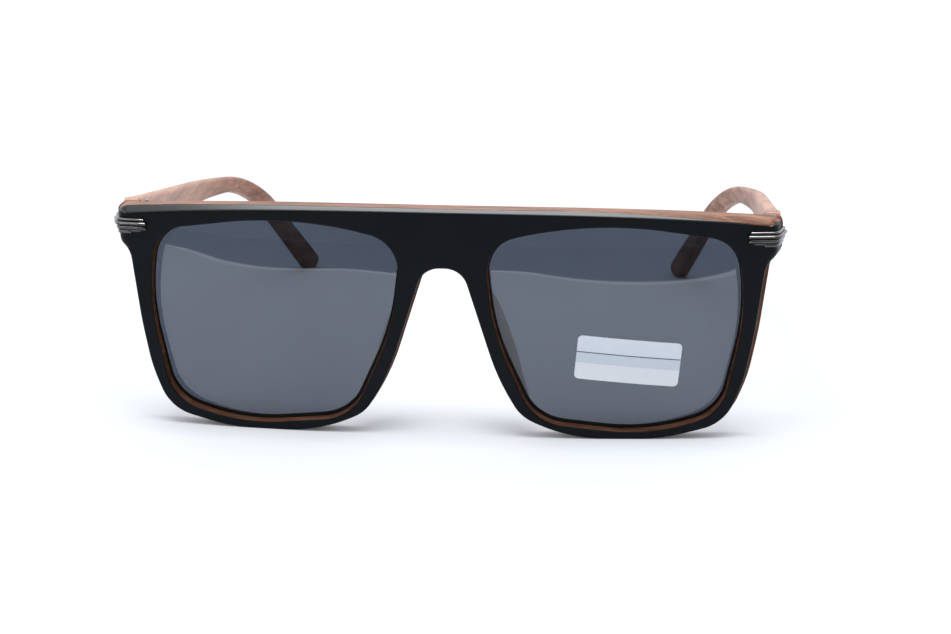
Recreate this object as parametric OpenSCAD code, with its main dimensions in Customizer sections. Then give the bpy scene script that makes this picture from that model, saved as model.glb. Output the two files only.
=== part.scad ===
// Square flat-top sunglasses with a wood-grain body, a thin black face layer and folding temples.
// The glasses stand open on a level surface, on both rims and on the temple tips.
// X runs to the wearer's left of the front, Y from the front to the temple tips and Z up.
// In the node names, left is the -X side and right is the +X side, as seen from the front.

/* [Lenses] */
// Width of each lens opening at the front face
lens_w = 54.8; // [50:0.1:60]
// Height of each lens opening at the front face
lens_h = 46; // [42:0.1:50]
// Distance between the two lens openings
bridge_w = 19.4; // [17:0.1:23]
// Radius of the lens front surface
lens_r = 150; // [130:1:220]
// Thickness of the lens
lens_t = 1.8; // [1.4:0.1:2.2]
// Depth of the middle of the lens behind the front face
lens_inset = 0.3; // [0.1:0.05:0.6]
// Height of the ridge round the lens that holds it in the rim
ridge_h = 0.5; // [0.3:0.05:0.7]
// Thickness of that ridge
ridge_t = 0.8; // [0.5:0.05:1]

/* [Front] */
// Radius of the bow of the front, seen from above
front_r = 500; // [400:10:900]
// Thickness of the front, with its face layer
front_t = 4.8; // [4.4:0.1:5.6]
// Thickness of the black face layer
face_t = 0.5; // [0.3:0.05:0.8]
// Width of the rim under the lens
rim_bottom = 1.4; // [1:0.1:2.5]
// Width of the rim at the temple side of the lens
rim_side = 2.8; // [2:0.1:4]
// Width of the rim at the nose side of the lens
rim_nose = 2.8; // [2:0.1:3.4]
// Height of the brow above the lens
brow_h = 3.5; // [2.5:0.1:5]
// Drop of the brow line from the middle to its ends
brow_drop = 2; // [0.5:0.1:3]
// Width of the brow chamfer at the middle
chamfer_mid = 0.8; // [0.5:0.05:1.2]
// Width of the brow chamfer at its ends
chamfer_end = 1.4; // [0.8:0.05:1.8]
// Slope of the rim walls: how far the back outline stands out past the front one
draft = 1.3; // [0.8:0.1:1.6]
// Share of that slope at the nose side of the rims
draft_nose = 0.4; // [0:0.1:1]
// Bevel that leads from the face down to the lens, across
bevel_w = 0.5; // [0.2:0.05:0.8]
// Bevel that leads from the face down to the lens, in depth
bevel_d = 1.8; // [1.2:0.1:2]
// Width of the nose arch at its top
arch_w = 8.5; // [7:0.1:11]
// Drop from the top of the brow to the top of the nose arch
arch_drop = 13; // [10:0.1:16]

/* [End pieces] */
// Reach of each end piece past the lens opening
end_w = 6.7; // [6:0.1:8.5]
// Drop from the top of the brow to the bottom of the end pieces
end_drop = 10.9; // [10:0.1:12]
// Depth of the end pieces from the front face plane back to the temple joint
end_y = 13; // [12:0.1:15]
// Width of the foot of each end piece, from its side inwards
end_foot = 9.4; // [8:0.1:10]

/* [Nose pads] */
// Height of the lower end of each pad
pad_z0 = 12.5; // [10:0.5:16]
// Drop from the top of the nose arch to the upper end of each pad
pad_drop = 7; // [5:0.1:12]
// Reach of the pads behind the front
pad_reach = 7.6; // [5:0.1:8]
// Sideways flare of the pads towards the back
pad_flare = 1.9; // [0:0.1:2.5]
// Half thickness of a pad at its foot
pad_foot_r = 1.4; // [1:0.1:1.5]
// Half thickness of a pad at its edge
pad_edge_r = 0.8; // [0.5:0.1:1.2]

/* [Temples] */
// Thickness of the temples
temple_t = 3.2; // [3:0.1:4]
// Drop from the top of the brow to the top edge of the temple at the hinge
temple_drop = 1.9; // [1:0.1:3]
// Height of the temple at the hinge
temple_h = 9.1; // [8:0.1:10]
// Height of the narrow middle of the temple
temple_waist = 5.4; // [4.5:0.1:6.5]
// Fall of the top edge for each millimetre of length
temple_fall = 0.169; // [0.12:0.001:0.2]
// Distance from the front face plane back to the ear bend
ear_y = 112.9; // [105:0.1:120]
// Length from the ear bend to the sharp end of the tip, before it is rounded
tip_l = 29.9; // [25:0.1:33]
// Width of the tip at its foot
tip_w = 6.8; // [6:0.1:8]
// Length from where the temples turn inwards to the ear bend
turn_l = 38.9; // [25:0.1:48]
// Radius of the inward turn, seen from above
turn_r = 105; // [90:1:140]
// Angle of the inward turn
turn_a = 24.3; // [15:0.1:30]
// Diameter of the wire core
core_d = 1.4; // [1:0.1:1.6]

/* [Hinges] */
// Outer radius of the hinge barrels
barrel_r = 1.5; // [1.3:0.05:1.6]
// Height of one hinge barrel
barrel_h = 1.7; // [1.4:0.05:2]
// Diameter of the hinge screw
screw_d = 1.4; // [1:0.05:1.6]
// Thickness of the hinge plates
plate_t = 0.9; // [0.6:0.05:1.1]
// Length of the plate let into the temple
plate_l = 9.2; // [8:0.1:11]
// Height of the hinge plates
plate_h = 4.8; // [4:0.1:6]
// Depth of the tang sunk into the end piece
tang_l = 3; // [2:0.1:3.2]

/* [Trim] */
// Drop from the top of the brow to the middle of the corner trim
trim_drop = 6.2; // [5.9:0.1:6.9]
// Length of the trim along the front
trim_front = 5.4; // [5:0.1:7]
// Length of the trim along the side
trim_side = 4.6; // [3:0.1:5.5]
// Spacing of the trim's ribs
rib_pitch = 1; // [0.9:0.05:1.1]
// Depth of the trim in its pocket
trim_depth = 0.8; // [0.6:0.05:1.2]

/* [Label] */
// Width of the label
label_w = 22.5; // [15:0.5:26]
// Height of the label
label_h = 9.9; // [6:0.1:12]
// Tilt of the label
label_tilt = 5.3; // [-10:0.1:10]
// Distance of the middle of the label below the middle of the lens
label_down = 6.8; // [0:0.1:10]
// Distance of the middle of the label from the middle of the lens, away from the nose
label_out = 3; // [-3:0.1:5]
// Thickness of the label
label_t = 0.1; // [0.05:0.05:0.2]

/* [Fits] */
// Gap between a piece and the pocket that holds it
fit = 0.05; // [0.02:0.01:0.08]
// Gap between the screw and the barrel that turns on it
run_fit = 0.04; // [0.02:0.01:0.08]
// Gap between the temple and the end piece
joint_gap = 0.3; // [0.25:0.05:0.5]
// Gap between neighbouring hinge barrels
barrel_gap = 0.1; // [0.05:0.01:0.2]

/* [Hidden] */

// Outer ends of the front at its face
lens_x1 = bridge_w / 2 + lens_w;
front_half = lens_x1 + end_w;
// Top of the brow at the middle, and the heights that count from it
brow_z = rim_bottom + lens_h + brow_h;
arch_z = brow_z - arch_drop;
end_z = brow_z - end_drop;
trim_z = brow_z - trim_drop;
pad_z1 = arch_z - pad_drop;
temple_top = brow_z - temple_drop;
temple_bottom = temple_top - temple_h;
// Middle of the lens and the slope of the bowed front there
lens_x = (bridge_w / 2 + lens_x1) / 2;
lens_z = rim_bottom + lens_h / 2;
lens_turn = asin(lens_x / front_r);
// Side of the end piece at its back, and inner side of its foot
end_x = front_half + draft;
foot_x = end_x - end_foot;
// Depths of the inward turn and of the end of the tip
turn_y = ear_y - turn_l;
tip_y = ear_y + tip_l;
// Temple: step in from the side of the end piece, start, middle plane and inner face at the hinge
temple_step = 0.4;
temple_y = end_y + joint_gap;
temple_x = end_x - temple_step - temple_t / 2;
temple_in = temple_x - temple_t / 2;
// Hinge axis, in the corner between the end piece and the temple
barrel_free = 0.4;
hinge_x = temple_in - barrel_r - barrel_free;
hinge_y = end_y + joint_gap / 2;
hinge_z = (temple_top + temple_bottom) / 2;
seat_y = hinge_y - barrel_r - barrel_free;
notch_x = hinge_x + barrel_r + joint_gap;
stack_h = 3 * barrel_h + 2 * barrel_gap;
screw_r = screw_d / 2;
// Room past a face for a clean cut, and how far before a face its outline starts to widen or narrow
past = 2;
lead = 0.3;
// Steps of a curve: the widest turn and the longest chord
step_a = 12;
step_l = 2.5;
round_fn = 48;
bow_fn = 720;
lens_fn = 300;

// Vector of length 1 along v
function unit(v) = v / norm(v);
// Depth of the bowed front face at a distance from the middle
function bow(x) = front_r - sqrt(front_r * front_r - x * x);
// Top line of the brow
function brow_top(x) = brow_z - brow_drop * pow(abs(x) / front_half, 3);
// Width of the brow chamfer
function brow_chamfer(x) = chamfer_mid + (chamfer_end - chamfer_mid) * pow(abs(x) / front_half, 2);

// Points that round corner b, between a and c, to radius r
function round_corner(a, b, c, r) =
    r == 0 ? [b] :
    let (
        u = unit(a - b), v = unit(c - b),
        half = acos(u * v) / 2,
        centre = b + unit(u + v) * r / sin(half),
        p = b + u * r / tan(half) - centre,
        q = b + v * r / tan(half) - centre,
        start = atan2(p.y, p.x),
        sweep = (atan2(q.y, q.x) - start + 540) % 360 - 180,
        n = ceil(max(abs(sweep) / step_a, abs(sweep) * PI / 180 * r / step_l))
    )
    [for (i = [0:n]) centre + r * [cos(start + sweep * i / n), sin(start + sweep * i / n)]];
// Closed outline through corners given as [x, z, radius]
function outline(c) =
    let (n = len(c), p = [for (k = c) [k[0], k[1]]])
    [for (i = [0:n - 1]) each round_corner(p[(i + n - 1) % n], p[i], p[(i + 1) % n], c[i][2])];
// Outward direction at each point of a clockwise outline
function outward(p) =
    let (n = len(p))
    [for (i = [0:n - 1])
        let (t = unit(unit(p[i] - p[(i + n - 1) % n]) + unit(p[(i + 1) % n] - p[i])))
        [-t.y, t.x]];
// Clockwise outline moved outwards by d
function grow(p, d) = let (o = outward(p)) [for (i = [0:len(p) - 1]) p[i] + d * o[i]];
// Clockwise outline widened sideways only, by d at the temple side and a share of it at the nose side
function widen(p, d) =
    let (o = outward(p))
    [for (i = [0:len(p) - 1]) p[i] + [d * o[i].x * (o[i].x * p[i].x > 0 ? 1 : draft_nose), 0]];
// Outline set at a fixed depth, or at a depth behind the bowed face
function flat_ring(p, y) = [for (k = p) [k.x, y, k.y]];
function bow_ring(p, d) = [for (k = p) [k.x, bow(k.x) + d, k.y]];

// Place in the box round a lens opening: u from nose to temple side, v from bottom to top
function in_lens(u, v) = [bridge_w / 2 + u * lens_w, rim_bottom + v * lens_h];
function lens_corner(u, v, r) = concat(in_lens(u, v), r);
function rim_corner(u, v, dx, dz, r) = concat(in_lens(u, v) + [dx, dz], r);
// Outline of the opening at the face
LENS_OPENING = outline([
    lens_corner(-0.016, 0.911, 8), lens_corner(0.407, 1.032, 84), lens_corner(0.975, 0.932, 8.2),
    lens_corner(1.01, 0.579, 50), lens_corner(0.926, 0.083, 10), lens_corner(0.627, -0.013, 46),
    lens_corner(0.188, 0.043, 11), lens_corner(0.022, 0.49, 50),
]);
// Right half of the outline of the front: brow, end piece, rim and nose arch
brow_step = 6;
HALF = concat(
    [for (x = [0:brow_step:front_half - brow_step]) [x, brow_top(x), 0]],
    [
        [front_half - 0.2, brow_top(front_half), 1.5],
        [front_half, trim_z, 8],
        [front_half - 0.2, end_z + 1.3, 3],
        rim_corner(1, 0.817, rim_side + 1.6, 0, 4),
        rim_corner(0.994, 0.478, rim_side, 0, 80),
        rim_corner(0.958, 0.251, rim_side, 0, 36),
        rim_corner(0.91, 0.075, 0.58 * rim_side, -rim_bottom, 9.5),
        rim_corner(0.69, 0, 0, -rim_bottom, 40),
        rim_corner(0.325, 0, 0, -rim_bottom, 36),
        rim_corner(0.176, 0.09, -0.8 * rim_nose, -0.5 * rim_bottom, 9),
        rim_corner(0.094, 0.258, -rim_nose, 0, 54),
        [arch_w / 2, arch_z, 5],
    ]
);
FRONT = outline(concat(HALF, [for (i = [len(HALF) - 1:-1:1]) [-HALF[i][0], HALF[i][1], HALF[i][2]]]));
LENS_SEAT = grow(LENS_OPENING, -bevel_w);

// Top edge of the temple, the start of its narrow middle and its bottom edge
function top_line(y) = temple_top - temple_fall * (y - temple_y);
waist_l = 33.3;
waist_y = ear_y - waist_l;
waist_z = top_line(waist_y) - temple_waist;
function bottom_line(y) = y > waist_y ? top_line(y) - temple_waist :
    temple_bottom + (waist_z - temple_bottom) * (y - temple_y) / (waist_y - temple_y);
// Outline of the temple seen from the side, as [y, z]. Its underside turns a little before its top.
tip_slope = 1.17;
tip_y0 = tip_y - tip_w;
bend_lead = 1.8;
bend_y = ear_y - bend_lead;
TEMPLE_SIDE = outline([
    [temple_y, temple_top, 0.8], [ear_y, top_line(ear_y), 38], [tip_y, 0, 2.3], [tip_y0, 0, 2],
    [bend_y, (tip_y0 - bend_y) * tip_slope, 36], [waist_y, waist_z, 60], [temple_y, temple_bottom, 0.8],
]);
// Overall depth, from the middle of the front face to the rounded ends of the tips
depth = max([for (p = TEMPLE_SIDE) p.x]);

// Places everything with the middle of the overall depth at the origin
module at_rest() {
    translate([0, -depth / 2, 0]) children();
}

// Draws a right-hand piece on the left
module on_left() {
    mirror([1, 0, 0]) children();
}

// Solid through rings of points that lie one behind the other
module skin(rings) {
    n = len(rings[0]);
    m = len(rings);
    polyhedron(
        points = [for (r = rings) each r],
        faces = concat(
            [[for (i = [0:n - 1]) i]],
            [[for (i = [n - 1:-1:0]) (m - 1) * n + i]],
            [for (k = [0:m - 2], i = [0:n - 1]) [k * n + i, (k + 1) * n + i, (k + 1) * n + (i + 1) % n]],
            [for (k = [0:m - 2], i = [0:n - 1]) [k * n + i, (k + 1) * n + (i + 1) % n, k * n + (i + 1) % n]]
        )
    );
}

// Outline in X and Z carried from depth y0 to depth y1
module along_y(points, y0, y1) {
    translate([0, y1, 0]) rotate([90, 0, 0]) linear_extrude(y1 - y0) polygon(points);
}

// Box between two corners
module block(a, b) {
    translate(a) cube(b - a);
}

// Space behind the bowed face, from a given depth on
module behind_face(d) {
    translate([0, front_r, -past]) cylinder(r = front_r - d, h = brow_z + 2 * past, $fn = bow_fn);
}

// Layer of the bowed front between two depths
module bowed_layer(d0, d1) {
    difference() {
        intersection() {
            skin([
                flat_ring(FRONT, -past), bow_ring(FRONT, -lead),
                bow_ring(widen(FRONT, draft), front_t + lead), flat_ring(widen(FRONT, draft), end_y + past),
            ]);
            behind_face(d0);
        }
        behind_face(d1);
    }
}

// Lens opening: bevelled down to the lens, then straight through
module opening() {
    skin([
        flat_ring(LENS_OPENING, -past), bow_ring(LENS_OPENING, -lead),
        bow_ring(LENS_SEAT, bevel_d), flat_ring(LENS_SEAT, end_y + past),
    ]);
}

// Curved layer of a lens between two depths behind its front surface
module lens_layer(points, d0, d1) {
    reach = lens_r + lens_inset;
    centre = [lens_x - reach * sin(lens_turn), bow(lens_x) + reach * cos(lens_turn), lens_z];
    difference() {
        intersection() {
            along_y(points, -past, end_y);
            translate(centre) sphere(r = lens_r - d0, $fn = lens_fn);
        }
        translate(centre) sphere(r = lens_r - d1, $fn = lens_fn);
    }
}

// Wedge that cuts the chamfer along the brow
module brow_cut() {
    reach = 5;
    skin([
        for (x = [-front_half - reach:reach:front_half + reach])
            let (y = bow(x), z = brow_top(x) - brow_chamfer(x))
            [
                [x, y - past, z - past], [x, y + reach, z + reach],
                [x, y + reach, brow_z + 2 * reach], [x, y - past, brow_z + 2 * reach],
            ]
    ]);
}

// Rounded corner of the end piece that the trim runs round, from the front to the sloping side
corner_r = 1.5;
front_slope = asin(front_half / front_r);
side_slope = atan(draft / front_t);
front_normal = [sin(front_slope), -cos(front_slope)];
side_normal = [cos(side_slope), -sin(side_slope)];
corner_pull = corner_r / (1 + front_normal * side_normal);
corner = [front_half, bow(front_half)] - corner_pull * (front_normal + side_normal);
corner_turn = 90 - front_slope - side_slope;

// Ribs from the top down, as [height and half height in pitches, stand-off, share of the front length]
RIBS = [[1.1, 0.36, 0.55, 0.94], [0.2, 0.48, 1, 1], [-0.85, 0.5, 0.6, 0.97], [-1.8, 0.34, 0.3, 0.4]];
last_rib = len(RIBS) - 1;
function rib_z(k, side) = trim_z + (RIBS[k][0] + side * RIBS[k][1]) * rib_pitch;
// Valley between the last rib, which is short, and the ones above it
last_valley = (rib_z(last_rib - 1, -1) + rib_z(last_rib, 1)) / 2;

// Crown of rib k as [reach, height]. Past its end it is flat, and the last rib shrinks into its valley.
trim_floor = corner_r + 0.05;
rib_rest = 0.05;
function crown(k, front_l) =
    let (f = front_l <= trim_front * RIBS[k][3] ? 1 : rib_rest, half = RIBS[k][1] * rib_pitch)
    [for (a = [90:-22.5:-90])
        let (
            reach = abs(a) == 90 ? 0 : corner_r + RIBS[k][2] - half * (1 - cos(a)) - trim_floor,
            z = rib_z(k, 0) + half * sin(a)
        )
        [trim_floor + f * reach, k == last_rib ? last_valley + f * (z - last_valley) : z]];
// Section of the trim at a distance along the front
function trim_section(front_l) =
    let (p = [for (k = [0:last_rib]) each crown(k, front_l)], back = corner_r - trim_depth)
    concat([[back, p[0].y]], p, [[back, p[len(p) - 1].y]]);

// Section in reach and height, carried along the front, round the corner and along the side
module round_the_end(front_l, side_l) {
    translate([corner.x, corner.y, 0]) {
        rotate([0, 0, front_slope - 90]) {
            rotate_extrude(angle = corner_turn, $fn = round_fn) children();
            rotate([90, 0, 0]) linear_extrude(front_l) children();
        }
        rotate([0, 0, -side_slope])
            translate([0, side_l, 0]) rotate([90, 0, 0]) linear_extrude(side_l) children();
    }
}

// Right-hand pieces
module lens_part() {
    lens_layer(grow(LENS_SEAT, -fit), 0, lens_t);
    lens_layer(grow(LENS_SEAT, ridge_h), (lens_t - ridge_t) / 2, (lens_t + ridge_t) / 2);
}

module lens_groove() {
    lens_layer(grow(LENS_SEAT, ridge_h + fit), (lens_t - ridge_t) / 2 - fit, (lens_t + ridge_t) / 2 + fit);
}

module trim_part() {
    // Stations along the front, with a pair at the end of each shorter rib, longest first
    rib_end = 0.15;
    fronts = concat(
        [trim_front],
        [for (k = [2, 0, last_rib], e = [rib_end, 0]) trim_front * RIBS[k][3] + e],
        [0]
    );
    inwards = [-cos(front_slope), -sin(front_slope)];
    backwards = [sin(side_slope), cos(side_slope)];
    start = front_slope - 90;
    turns = 6;
    function ring(points, angle, along) = [
        for (p = points)
            [corner.x + p.x * cos(angle) + along.x, corner.y + p.x * sin(angle) + along.y, p.y]
    ];
    skin(concat(
        [for (l = fronts) ring(trim_section(l), start, l * inwards)],
        [for (i = [1:turns]) ring(trim_section(0), start + corner_turn * i / turns, [0, 0])],
        [ring(trim_section(0), -side_slope, trim_side * backwards)]
    ));
}

module trim_pocket() {
    for (band = [[rib_z(0, 1), last_valley, 1], [last_valley, rib_z(last_rib, -1), RIBS[last_rib][3]]])
        round_the_end(trim_front * band[2] + fit, trim_side + fit)
            translate([corner_r - trim_depth - fit, band[1] - fit])
                square([trim_depth + fit + past, band[0] - band[1] + 2 * fit]);
}

module nose_pad_part() {
    // Middle of the rim at the lower and upper ends of the pad
    lean = 0.345;
    root_l = 1;
    low_x = in_lens(0.09, 0).x;
    high_x = low_x - lean * (pad_z1 - pad_z0);
    intersection() {
        hull() for (e = [[low_x, pad_z0], [high_x, pad_z1]]) {
            translate([e.x, front_t, e.y]) rotate([90, 0, 0]) cylinder(r = pad_foot_r, h = root_l, $fn = 24);
            translate([e.x + pad_flare, front_t + pad_reach - pad_edge_r, e.y])
                sphere(r = pad_edge_r, $fn = 20);
        }
        behind_face(front_t);
    }
}

// Foot of the end piece, stepped on its inner side to make room for the hinge
module end_foot_part() {
    set_down = 0.2;
    set_back = 1;
    edge_r = 1;
    top = brow_top(front_half) - set_down;
    foot = outline([
        [foot_x, top, edge_r], [end_x, top, edge_r], [end_x, end_z, edge_r], [foot_x, end_z, edge_r],
    ]);
    intersection() {
        along_y(foot, bow(foot_x), end_y);
        behind_face(face_t + set_back);
    }
}

module hinge_notch() {
    block([foot_x - past, seat_y, end_z - past], [notch_x, end_y + past, brow_z]);
}

// Plate and tang of the front hinge leaf, grown by g to make their pocket
module front_leaf_root(g) {
    flange_half = barrel_r + 0.15;
    tang_w = 2.4;
    tang_h = 4.2;
    block(
        [hinge_x - flange_half - g, seat_y - plate_t - g, hinge_z - stack_h / 2 - g],
        [hinge_x + flange_half + g, seat_y + (g > 0 ? past : 0), hinge_z + stack_h / 2 + g]
    );
    block(
        [hinge_x - tang_w / 2 - g, seat_y - tang_l - g, hinge_z - tang_h / 2 - g],
        [hinge_x + tang_w / 2 + g, seat_y - plate_t / 2, hinge_z + tang_h / 2 + g]
    );
}

// Barrel k of the three, counted from the bottom
module barrel(k) {
    translate([hinge_x, hinge_y, hinge_z - stack_h / 2 + k * (barrel_h + barrel_gap)])
        cylinder(r = barrel_r, h = barrel_h, $fn = round_fn);
}

module hinge_bore(gap) {
    translate([hinge_x, hinge_y, hinge_z - stack_h / 2 - past])
        cylinder(r = screw_r + gap, h = stack_h + 2 * past, $fn = round_fn);
}

module hinge_front_part() {
    arm_half = 1.2;
    difference() {
        union() {
            front_leaf_root(0);
            for (k = [0, 2]) {
                z = hinge_z - stack_h / 2 + k * (barrel_h + barrel_gap);
                barrel(k);
                block(
                    [hinge_x - arm_half, seat_y - plate_t / 2, z],
                    [hinge_x + arm_half, hinge_y, z + barrel_h]
                );
            }
        }
        hinge_bore(fit / 2);
    }
}

// Plate and arm of the temple leaf, grown by g to make their pocket
module temple_leaf_root(g) {
    block(
        [temple_in - (g > 0 ? past : 0), temple_y - (g > 0 ? past : 0), hinge_z - plate_h / 2 - g],
        [temple_in + plate_t + g, temple_y + plate_l + g, hinge_z + plate_h / 2 + g]
    );
    if (g == 0)
        block(
            [hinge_x, temple_y, hinge_z - barrel_h / 2],
            [temple_in + plate_t, hinge_y + barrel_r, hinge_z + barrel_h / 2]
        );
}

// Places of the rivets along the temple leaf
rivet_edge = 1.7;
rivet_pitch = 3.5;
RIVETS = [for (k = [0, 1]) temple_y + plate_l - rivet_edge - k * rivet_pitch];
rivet_r = 0.6;
rivet_l = 2.6;
rivet_head_r = 1;
rivet_head_h = 0.35;
module rivet_shanks(g) {
    out = g > 0 ? past : 0;
    for (y = RIVETS)
        translate([temple_in - out, y, hinge_z])
            rotate([0, 90, 0]) cylinder(r = rivet_r + g, h = rivet_l + g + out, $fn = round_fn);
}

module hinge_rivets_part() {
    rivet_shanks(0);
    for (y = RIVETS)
        translate([temple_in - rivet_head_h, y, hinge_z])
            rotate([0, 90, 0]) cylinder(r = rivet_head_r, h = rivet_head_h, $fn = round_fn);
}

module hinge_temple_part() {
    difference() {
        union() {
            temple_leaf_root(0);
            barrel(1);
        }
        hinge_bore(run_fit);
        rivet_shanks(fit / 2);
    }
}

module hinge_screw_part() {
    head_r = 1.15;
    head_h = 0.6;
    slot_w = 0.3;
    slot_h = 0.3;
    top = hinge_z + stack_h / 2;
    translate([hinge_x, hinge_y, 0]) difference() {
        union() {
            translate([0, 0, top - stack_h]) cylinder(r = screw_r, h = stack_h, $fn = round_fn);
            translate([0, 0, top]) cylinder(r = head_r, h = head_h, $fn = round_fn);
        }
        block([-head_r, -slot_w / 2, top + head_h - slot_h], [head_r, slot_w / 2, top + head_h + past]);
    }
}

// Wire core, from a little behind the leaf to a little past the start of the inward turn
core_y0 = temple_y + plate_l + 1;
core_y1 = turn_y + 9;
module core_wire(g) {
    z0 = (top_line(core_y0) + bottom_line(core_y0)) / 2;
    z1 = (top_line(core_y1) + bottom_line(core_y1)) / 2;
    run = norm([core_y1 - core_y0, z1 - z0]);
    translate([temple_x, core_y0, z0])
        rotate([atan2(z1 - z0, core_y1 - core_y0) - 90, 0, 0])
            translate([0, 0, -g]) cylinder(r = core_d / 2 + g, h = run + 2 * g, $fn = round_fn);
}

// Temple seen from the side
module temple_side() {
    rotate([90, 0, 90]) linear_extrude(end_x + past) polygon(TEMPLE_SIDE);
}

// Temple seen from above: straight, an inward turn, then straight to the tip
module temple_plan() {
    steps = 14;
    turn = [for (i = [0:steps]) turn_a * i / steps];
    centre = [temple_x - turn_r, turn_y];
    tail = 40;
    function face(r) = concat(
        [[centre.x + r, 0]],
        [for (a = turn) centre + r * [cos(a), sin(a)]],
        [centre + r * [cos(turn_a), sin(turn_a)] + tail * [-sin(turn_a), cos(turn_a)]]
    );
    inner = face(turn_r - temple_t / 2);
    translate([0, 0, -past]) linear_extrude(temple_top + 2 * past)
        polygon(concat(face(turn_r + temple_t / 2), [for (i = [len(inner) - 1:-1:0]) inner[i]]));
}

module temple_part() {
    difference() {
        intersection() {
            temple_side();
            temple_plan();
        }
        temple_leaf_root(fit);
        rivet_shanks(fit);
        core_wire(fit);
    }
}

// Named pieces
module front_frame() {
    color("#8a5f4b") difference() {
        union() {
            bowed_layer(face_t, front_t);
            end_foot_part();
            on_left() end_foot_part();
        }
        brow_cut();
        frame_cuts();
        on_left() frame_cuts();
    }
}

// What is cut from the right half of the frame
module frame_cuts() {
    opening();
    lens_groove();
    trim_pocket();
    hinge_notch();
    front_leaf_root(fit);
}

module front_face() {
    color("#1e2328") difference() {
        bowed_layer(0, face_t);
        brow_cut();
        opening();
        on_left() opening();
        trim_pocket();
        on_left() trim_pocket();
    }
}

module lens_label() {
    corner = 1;
    x = label_w / 2;
    z = label_h / 2;
    card = outline([[-x, z, corner], [x, z, corner], [x, -z, corner], [-x, -z, corner]]);
    c = cos(label_tilt);
    s = sin(label_tilt);
    middle = [lens_x + label_out, lens_z - label_down];
    tilted = [for (p = card) middle + [p.x * c + p.y * s, p.y * c - p.x * s]];
    color("#c9d0d8") lens_layer(tilted, -label_t, 0);
}

module lens_right() { color("#5b6470") lens_part(); }
module lens_left() { on_left() color("#5b6470") lens_part(); }
module nose_pad_right() { color("#6b5a52") nose_pad_part(); }
module nose_pad_left() { on_left() color("#6b5a52") nose_pad_part(); }
module trim_right() { color("#77797c") trim_part(); }
module trim_left() { on_left() color("#77797c") trim_part(); }
module hinge_front_right() { color("#b9bbbd") hinge_front_part(); }
module hinge_front_left() { on_left() color("#b9bbbd") hinge_front_part(); }
module hinge_temple_right() { color("#b9bbbd") hinge_temple_part(); }
module hinge_temple_left() { on_left() color("#b9bbbd") hinge_temple_part(); }
module hinge_screw_right() { color("#8f9194") hinge_screw_part(); }
module hinge_screw_left() { on_left() color("#8f9194") hinge_screw_part(); }
module hinge_rivets_right() { color("#8f9194") hinge_rivets_part(); }
module hinge_rivets_left() { on_left() color("#8f9194") hinge_rivets_part(); }
module temple_right() { color("#a5705a") temple_part(); }
module temple_left() { on_left() color("#a5705a") temple_part(); }
module temple_core_right() { color("#c0c2c4") core_wire(0); }
module temple_core_left() { on_left() color("#c0c2c4") core_wire(0); }

at_rest() front_frame();
at_rest() front_face();
at_rest() lens_left();
at_rest() lens_right();
at_rest() nose_pad_left();
at_rest() nose_pad_right();
at_rest() trim_left();
at_rest() trim_right();
at_rest() hinge_front_left();
at_rest() hinge_front_right();
at_rest() hinge_temple_left();
at_rest() hinge_temple_right();
at_rest() hinge_screw_left();
at_rest() hinge_screw_right();
at_rest() hinge_rivets_left();
at_rest() hinge_rivets_right();
at_rest() temple_left();
at_rest() temple_right();
at_rest() temple_core_left();
at_rest() temple_core_right();
at_rest() lens_label();
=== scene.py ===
import math

import bmesh
import bpy
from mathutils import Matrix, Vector
from mathutils.geometry import delaunay_2d_cdt

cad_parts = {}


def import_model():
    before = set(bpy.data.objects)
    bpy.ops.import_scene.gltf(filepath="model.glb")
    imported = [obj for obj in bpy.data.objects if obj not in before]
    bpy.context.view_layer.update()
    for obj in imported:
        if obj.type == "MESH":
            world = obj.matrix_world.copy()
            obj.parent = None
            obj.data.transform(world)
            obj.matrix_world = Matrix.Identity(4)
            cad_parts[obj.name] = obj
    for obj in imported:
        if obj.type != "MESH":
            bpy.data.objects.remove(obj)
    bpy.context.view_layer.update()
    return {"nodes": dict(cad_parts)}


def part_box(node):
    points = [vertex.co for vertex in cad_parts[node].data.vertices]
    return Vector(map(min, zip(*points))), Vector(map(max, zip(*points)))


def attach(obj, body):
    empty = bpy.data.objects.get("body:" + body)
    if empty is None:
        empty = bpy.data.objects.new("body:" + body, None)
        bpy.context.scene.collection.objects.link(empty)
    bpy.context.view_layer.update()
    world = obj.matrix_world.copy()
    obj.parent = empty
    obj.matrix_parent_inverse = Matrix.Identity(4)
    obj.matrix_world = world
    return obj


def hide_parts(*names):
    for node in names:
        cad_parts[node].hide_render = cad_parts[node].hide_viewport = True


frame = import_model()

# Sizes in millimetres, as the frame has them. Y counts from the middle of the front face.
MM = 0.001
Y0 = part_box("front_face")[0].y
BRIDGE_W, LENS_W, LENS_H = 19.4, 54.8, 46.0
RIM_BOTTOM, RIM_SIDE, RIM_NOSE = 1.4, 2.8, 2.8
BROW_H, BROW_DROP = 3.5, 2.0
CHAMFER_MID, CHAMFER_END = 0.8, 1.4
FRONT_R, FRONT_T = 500.0, 4.8
# The front widens by this much towards its back, and its inward sides by this share of it
DRAFT, DRAFT_NOSE = 1.3, 0.4
ARCH_W, ARCH_Z = 8.5, 37.9
END_W, END_Z, END_Y, END_FOOT = 6.7, 40.0, 13.0, 9.4
END_TUCK, END_LIFT, NECK_W = 0.2, 0.9, 1.6
TRIM_Z = 44.7
JOINT_GAP = 0.3

FRONT_HALF = BRIDGE_W / 2 + LENS_W + END_W
END_X = FRONT_HALF + DRAFT
BROW_Z = RIM_BOTTOM + LENS_H + BROW_H
LENS_X = BRIDGE_W / 2 + LENS_W / 2
LENS_Z = RIM_BOTTOM + LENS_H / 2


def bow(x):
    """Depth of the bowed front face at a distance from the middle."""
    return FRONT_R - math.sqrt(FRONT_R ** 2 - x * x)


def brow_top(x):
    """Height of the brow at a distance from the middle."""
    return BROW_Z - BROW_DROP * (abs(x) / FRONT_HALF) ** 3


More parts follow.
